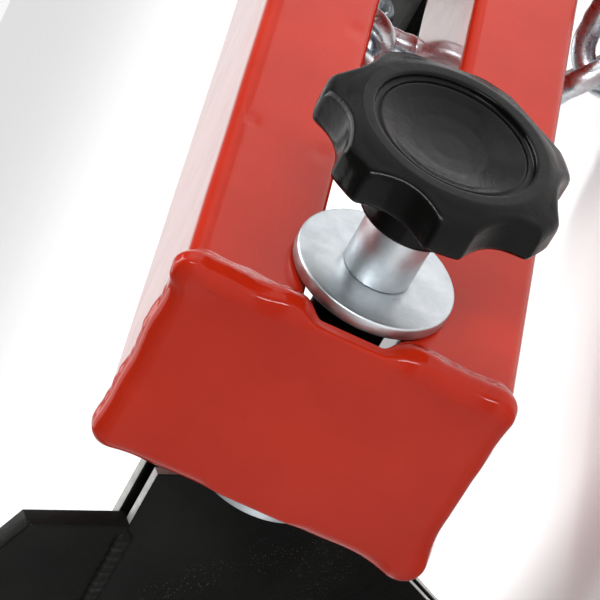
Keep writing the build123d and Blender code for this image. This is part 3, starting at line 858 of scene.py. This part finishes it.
def jaw(side):
    """Both sheets, the wing and the bead between them."""
    end = "near_" if side < 0 else "far_"
    place = jaw_frame(side)
    shoulder = SHOULDER_N - 0.81 * (JAW_LOW - NECK)
    tip = corner_arc(JAW_LOW - JAW_CORNER, -JAW_REACH + JAW_CORNER, JAW_CORNER, -90)
    outline = [(-NECK, NECK_N), (-NECK, -JAW_REACH), *tip]
    outline += [(JAW_LOW, shoulder), (NECK, SHOULDER_N), (NECK, NECK_N)]
    sheets = (("outer", SHEET_INNER, SHEET_OUTER), ("inner", -SHEET_OUTER, -SHEET_INNER))
    for label, low, high in sheets:
        node = f"{end}{label}_jaw_plate"
        # The sides of each sheet get the grey painted highlight that stands in for light on the edges.
        mesh = slab(node + "_coated", outline, low, high, place, 0.35 * MM, edge_look=1)
        stand_for(node + "_coated", mesh, [node], [BLACK, EDGE_HIGHLIGHT])
    tip = corner_arc(WING_EDGE + JAW_CORNER, -JAW_REACH + JAW_CORNER, JAW_CORNER, 180)
    outline = [
        (-NECK - 0.1 * MM, WING_TOP),
        (WING_BEND, WING_TOP),
        (WING_EDGE, WING_TOP - 2 * (WING_BEND - WING_EDGE)),
        *tip,
        (-NECK - 0.1 * MM, -JAW_REACH),
    ]
    node = end + "jaw_wing"
    mesh = slab(node + "_coated", outline, WING_BACK, WING_FRONT, place, 0.6 * MM)
    stand_for(node + "_coated", mesh, [node])
    for label, height in (("outer", SHEET_OUTER + 0.1 * MM), ("inner", WING_BACK - 0.3 * MM)):
        start = place(-NECK - 0.3 * MM, WING_TOP - 1.5 * MM, height)
        finish = place(-NECK - 0.3 * MM, -JAW_REACH + 2 * MM, height)
        up = place(0, 0, 1) - place(0, 0, 0)
        weld_line(f"{end}wing_bead_{label}", node, start, finish, 2.3 * MM, 11 + len(label), 0.55, up)
    start = place(-8 * MM, NECK_N - 0.6 * MM, SHEET_INNER - 0.4 * MM)
    finish = place(8 * MM, NECK_N - 0.6 * MM, SHEET_INNER - 0.4 * MM)
    weld_line(f"{end}tang_bead", end + "outer_jaw_plate", start, finish, 1.3 * MM, 5)


def tyre_pad(side):
    """Ribbed rubber pad with sunk bolt pockets."""
    end = "near_" if side < 0 else "far_"
    node = end + "tyre_pad"
    place = jaw_frame(side)
    back = -SHEET_OUTER
    face = back - PAD_DEPTH
    groove_floor = face + GROOVE_DEPTH
    line = [(PAD_TOP, back), (PAD_TOP, face)]
    pitch = (PAD_LOW - PAD_TOP) / PAD_RIBS
    for rib in range(1, PAD_RIBS):
        middle = PAD_TOP + pitch * rib
        line += [(middle - GROOVE / 2, face), (middle - GROOVE / 2, groove_floor)]
        line += [(middle + GROOVE / 2, groove_floor), (middle + GROOVE / 2, face)]
    line += [(PAD_LOW, face), (PAD_LOW, back)]
    outline = soft_line(line, 0.9 * MM, 3)
    mesh = slab(node, outline, PAD_FAR, RUBBER_NEAR, lambda h, t, n: place(h, n, t), 0.8 * MM)
    pad = bpy.data.objects.new(node + "_cut", mesh)
    bpy.context.scene.collection.objects.link(pad)
    shade(mesh)
    pockets = []
    for h, n in bolt_places():
        centre = place(h, n, 0)
        out = place(0, 0, -1) - place(0, 0, 0)
        past = BOLT_SEAT + PAD_DEPTH
        profile = [(0, BOLT_SEAT), (POCKET_RADIUS, BOLT_SEAT), (POCKET_RADIUS, past), (0, past)]
        pockets.append(spin("pocket", profile, centre, Y_AXIS.copy(), out, 48))
    cutter_mesh = joined("pockets", pockets)
    shade(cutter_mesh)
    cutter = bpy.data.objects.new("pockets", cutter_mesh)
    bpy.context.scene.collection.objects.link(cutter)
    cut = pad.modifiers.new("pockets", "BOOLEAN")
    cut.operation = "DIFFERENCE"
    cut.object = cutter
    cut.solver = "EXACT"
    bpy.context.view_layer.update()
    result = bpy.data.meshes.new_from_object(pad.evaluated_get(bpy.context.evaluated_depsgraph_get()))
    bpy.data.objects.remove(pad)
    bpy.data.objects.remove(cutter)
    result.materials.clear()
    stand_for(node + "_moulded", result, [node])


def bolt_places():
    """Jaw places of the four pad bolts."""
    return [(BOLTS_H + h * BOLTS_APART_H, BOLTS_N + n * BOLTS_APART_N) for h in (-1, 1) for n in (-1, 1)]


def hexagon(angle, across):
    """Distance from the centre to a hexagon's side at an angle."""
    return across / 2 / cos((angle + pi / 6) % (pi / 3) - pi / 6)


def bolt_heads(side):
    """Button heads with hexagon sockets on the pad side."""
    end = "near_" if side < 0 else "far_"
    place = jaw_frame(side)
    out = place(0, 0, -1) - place(0, 0, 0)
    foot = BOLT_SEAT
    profile = [
        (0, foot - 6 * MM),
        (3.0 * MM, foot - 6 * MM),
        (3.0 * MM, foot),
        (6.3 * MM, foot),
        (6.5 * MM, foot + 0.3 * MM),
        (6.3 * MM, foot + 1.1 * MM),
        (5.4 * MM, foot + 2.1 * MM),
        (4.2 * MM, foot + 2.7 * MM),
        (3.1 * MM, foot + 2.95 * MM),
        (2.5 * MM, foot + 2.9 * MM),
        (2.2 * MM, foot + 2.6 * MM),
        (2.2 * MM, foot + 1.2 * MM),
        (0, foot + 0.9 * MM),
    ]

    def socket(angle, radius, height):
        if radius < 2.4 * MM and height > foot:
            radius = hexagon(angle, SOCKET_WIDTH)
        return radius, height

    heads = []
    tail = [(0, 0), (2.9 * MM, 0), (2.9 * MM, 9.2 * MM), (2.3 * MM, 9.95 * MM), (0, 9.95 * MM)]
    for h, n in bolt_places():
        heads.append(spin("head", profile, place(h, n, 0), Y_AXIS.copy(), out, 72, socket))
        heads.append(spin("tail", tail, place(h, n, 0), Y_AXIS.copy(), -out, 48))
    stand_for(end + "pad_bolts_turned", joined("bolts", heads), [end + "pad_bolts"], angle=32)


def nut_mesh(centre, along, across, low, high, bore):
    """A hexagon nut with chamfered corners."""
    reach = across / 2 / cos(pi / 6)
    chamfer = reach - across / 2
    profile = [
        (bore, low + 0.4 * MM),
        (bore + 0.4 * MM, low),
        (across / 2 * 0.97, low),
        (reach, low + chamfer * 0.6),
        (reach, high - chamfer * 0.6),
        (across / 2 * 0.97, high),
        (bore + 0.4 * MM, high),
        (bore, high - 0.4 * MM),
    ]

    def shape(angle, radius, height):
        if radius > across / 2 * 0.9:
            radius = min(radius, hexagon(angle, across))
        return radius, height

    return spin("nut", profile, centre, Y_AXIS.copy(), along, 96, shape, closed=True)


def pad_nuts(side):
    """Nuts of the four pad bolts, on the side away from the tyre."""
    end = "near_" if side < 0 else "far_"
    place = jaw_frame(side)
    out = place(0, 0, 1) - place(0, 0, 0)
    nuts = [
        nut_mesh(place(h, n, 0), out, NUT_WIDTH, SHEET_OUTER, SHEET_OUTER + NUT_HEIGHT, NUT_BORE)
        for h, n in bolt_places()
    ]
    stand_for(end + "pad_nuts_turned", joined("nuts", nuts), [end + "pad_nuts"], angle=24)


def jaw_foot(side):
    """Rubber channel with a finely ribbed nose along the jaw's lower edge."""
    end = "near_" if side < 0 else "far_"
    node = end + "jaw_foot"
    place = jaw_frame(side)
    radius = FOOT_RADIUS
    slot = SHEET_OUTER + 0.1 * MM
    nose = []
    count = 48
    for step in range(count + 1):
        angle = pi / 2 - pi * step / count
        rib = NOSE_RIB * (0.5 - 0.5 * cos(2 * pi * step / 4))
        nose.append((JAW_LOW + (radius - rib) * cos(angle), (radius - rib) * sin(angle)))
    lips = [
        (FOOT_TOP + 0.4 * MM, -radius),
        (FOOT_TOP, -radius + 0.5 * MM),
        (FOOT_TOP, -slot - 0.4 * MM),
        (FOOT_TOP + 0.6 * MM, -slot),
    ]
    other = [(h, -t) for h, t in reversed(lips)]
    outline = nose + lips + [(JAW_LOW, -slot), (JAW_LOW, slot)] + other
    mesh = slab(node, outline, FOOT_FAR, RUBBER_NEAR, lambda h, t, n: place(h, n, t), 0.5 * MM)
    stand_for(node + "_moulded", mesh, [node])


# --- Chain, lugs and hook --------------------------------------------------------------------


def solids_of(node):
    """Vertex places of each separate solid of a CAD node."""
    work = bmesh.new()
    work.from_mesh(frame["nodes"][node].data)
    bmesh.ops.remove_doubles(work, verts=work.verts, dist=0.01 * MM)
    work.verts.index_update()
    left = set(work.verts)
    found = []
    while left:
        start = next(iter(left))
        group = {start}
        edge = [start]
        while edge:
            vert = edge.pop()
            for link in vert.link_edges:
                other = link.other_vert(vert)
                if other not in group:
                    group.add(other)
                    edge.append(other)
        left -= group
        found.append(np.array([vert.co[:] for vert in sorted(group, key=lambda vert: vert.index)]))
    work.free()
    return sorted(found, key=lambda spots: tuple(np.round(spots.mean(0), 5)))


def own_axes(spots):
    """Centre and axes of a cloud of points, the longest direction first."""
    middle = spots.mean(0)
    _, _, axes = np.linalg.svd(spots - middle, full_matrices=False)
    along = (spots - middle) @ axes.T
    centre = middle + ((along.max(0) + along.min(0)) / 2) @ axes
    return Vector(centre), [Vector(axis).normalized() for axis in axes]


LINK_WIRE = 6.5 * MM
LINK_PITCH = 24 * MM
LINK_WIDTH = 24.5 * MM


def link_path(centre, along, across):
    """Centre line of a chain link."""
    bend = (LINK_WIDTH - LINK_WIRE) / 2
    straight = (LINK_PITCH + LINK_WIRE - 2 * bend) / 2
    path = []
    for end in (1, -1):
        for step in range(17):
            angle = -pi / 2 + pi * step / 16
            reach = along * (straight + bend * cos(angle))
            path.append(centre + end * (reach + across * bend * sin(angle)))
        for step in range(1, 5):
            share = 1 - 2 * step / 5
            path.append(centre + along * end * straight * share + across * end * bend)
    return path


def chain(name, node):
    """Welded links with a slight upset on one leg, each a little different."""
    meshes = []
    for number, spots in enumerate(solids_of(node)):
        centre, (along, across, _) = own_axes(spots)
        path = link_path(centre, along, across)
        joint = centre + across * (LINK_WIDTH - LINK_WIRE) / 2 + along * 0.6 * MM

        def radius(index, angle, path=path, joint=joint, number=number):
            away = (path[index] - joint).length / (1.7 * MM)
            upset = 0.09 * exp(-away * away) - 0.05 * exp(-(away - 1.5) ** 2 * 3)
            rough = 0.012 * wobble(path[index] + Vector((angle * MM, 0, 0)), 4 * MM, number)
            return LINK_WIRE / 2 * (1 + upset + rough)

        meshes.append(sweep("link", path, radius, 20, closed=True))
    stand_for(name, joined(name, meshes), [node], angle=80)


def staple(node):
    """A bent round bar whose two legs are welded to the back of the upper rail."""
    low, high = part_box(node)
    rod = high.z - low.z
    centre_z = (low.z + high.z) / 2
    bend = rod * 0.75
    left, right = low.x + rod / 2, high.x - rod / 2
    outer = high.y - rod / 2
    path = [Vector((left, low.y - 0.5 * MM, centre_z)), Vector((left, outer - bend, centre_z))]
    for x, start in ((left + bend, pi), (right - bend, pi / 2)):
        for step in range(1, 13):
            angle = start - pi / 2 * step / 12
            path.append(Vector((x + bend * cos(angle), outer - bend + bend * sin(angle), centre_z)))
    path.append(Vector((right, low.y - 0.5 * MM, centre_z)))
    mesh = sweep(node + "_bent", path, lambda index, angle: rod / 2, 28)
    stand_for(node + "_bent", mesh, [node], angle=60)
    for number, x in enumerate((left, right)):
        foot = Vector((x, BACK_Y + 0.3 * MM, centre_z))
        radius = rod / 2 + 0.7 * MM
        weld_ring(f"{node}_weld_{number}", node, foot, Y_AXIS.copy(), radius, 1.9 * MM, number + 2)


# --- Build everything ------------------------------------------------------------------------

rail("upper_rail", PAINT_DENTS)
rail("lower_rail", ())
for side, end in ((-1, "near_"), (1, "far_")):
    end_cap(side)
    turned_ring(side, end + "clamp_washer", STUD_BORE, 0.55 * MM)
    turned_ring(side, end + "thrust_washer", 8.6 * MM, 0.55 * MM)
    turned_ring(side, end + "clamp_collar", STUD_BORE, 0.35 * MM)
    knob(side)
    jaw(side)
    tyre_pad(side)
    bolt_heads(side)
    pad_nuts(side)
    jaw_foot(side)
    # The end bar is covered in the grey painted highlight that stands in for light on the sheet edges.
    soften(end + "jaw_end_bar", 0.2 * MM, EDGE_HIGHLIGHT)
chain("hanging_links", "hanging_chain_links")
chain("lying_links", "lying_chain_links")
staple("chain_lug")
staple("hook_lug")
soften("middle_foot_bracket", 0.5 * MM)
soften("middle_foot_pad", 0.8 * MM)
for node, thing in frame["nodes"].items():
    thing.data.materials.clear()
    thing.data.materials.append(SLOT_LOOKS[SLOT_OF_NODE[node]])


# --- Stage -----------------------------------------------------------------------------------


def stage():
    """A large pale floor, soft lights and the camera."""
    reach = 14.0
    corners = [(-reach, -reach, 0), (reach, -reach, 0), (reach, reach, 0), (-reach, reach, 0)]
    mesh = mesh_of("floor", corners, [(0, 1, 2, 3)])
    ground = bpy.data.objects.new("floor", mesh)
    bpy.context.scene.collection.objects.link(ground)
    recipe = Recipe("pale_floor", 0.85, specular=0.2)
    recipe.colour(recipe.mix(recipe.noise(3, 2), (0.90, 0.90, 0.90), (0.92, 0.92, 0.92)))
    mesh.materials.append(recipe.material)

    world = bpy.data.worlds.new("studio")
    world.use_nodes = True
    nodes = world.node_tree.nodes
    links = world.node_tree.links
    split = nodes.new("ShaderNodeSeparateXYZ")
    links.new(nodes.new("ShaderNodeTexCoord").outputs["Generated"], split.inputs["Vector"])
    product = nodes.new("ShaderNodeMath")
    product.operation = "MULTIPLY"
    for socket, axis, limits in ((0, "Z", (0.22, 0.62, 1.0, 0.2)), (1, "X", (-0.3, 0.7, 0.62, 0.95))):
        fade = nodes.new("ShaderNodeMapRange")
        fade.interpolation_type = "SMOOTHSTEP"
        for name, value in zip(("From Min", "From Max", "To Min", "To Max"), limits):
            fade.inputs[name].default_value = value
        links.new(split.outputs[axis], fade.inputs["Value"])
        links.new(fade.outputs["Result"], product.inputs[socket])
    links.new(product.outputs["Value"], nodes["Background"].inputs["Strength"])
    nodes["Background"].inputs["Color"].default_value = (1.0, 1.0, 1.0, 1.0)
    bpy.context.scene.world = world
    bpy.context.scene.view_settings.view_transform = "Standard"

    middle = Vector((0, 0, 0.06))
    lights = (
        ("overhead", Vector((0.7, -0.5, 2.0)), (1.4, 1.4), 46.0),
        ("front", Vector((0.9, -2.0, 1.1)), (2.2, 2.2), 15.0),
        ("glint", Vector((-1.35, -1.70, 0.46)), (0.22, 0.75), 22.0),
    )
    for name, place, (width, height), power in lights:
        lamp = bpy.data.lights.new(name, "AREA")
        lamp.shape = "RECTANGLE"
        lamp.size = width
        lamp.size_y = height
        lamp.energy = power
        thing = bpy.data.objects.new(name, lamp)
        thing.location = place
        thing.rotation_euler = (middle - place).to_track_quat("-Z", "Y").to_euler()
        bpy.context.scene.collection.objects.link(thing)

    sun = bpy.data.lights.new("sky", "SUN")
    sun.energy = 1.9
    sun.angle = radians(60)
    thing = bpy.data.objects.new("sky", sun)
    thing.rotation_euler = (radians(-22), radians(14), 0)
    bpy.context.scene.collection.objects.link(thing)

    lens = bpy.data.cameras.new("camera")
    lens.lens = CAMERA_LENS
    lens.sensor_width = 36.0
    lens.clip_end = 100.0
    camera = bpy.data.objects.new("camera", lens)
    camera.location = CAMERA_PLACE
    camera.rotation_euler = Euler([radians(angle) for angle in CAMERA_TURN], "XYZ")
    bpy.context.scene.collection.objects.link(camera)
    bpy.context.scene.camera = camera


stage()
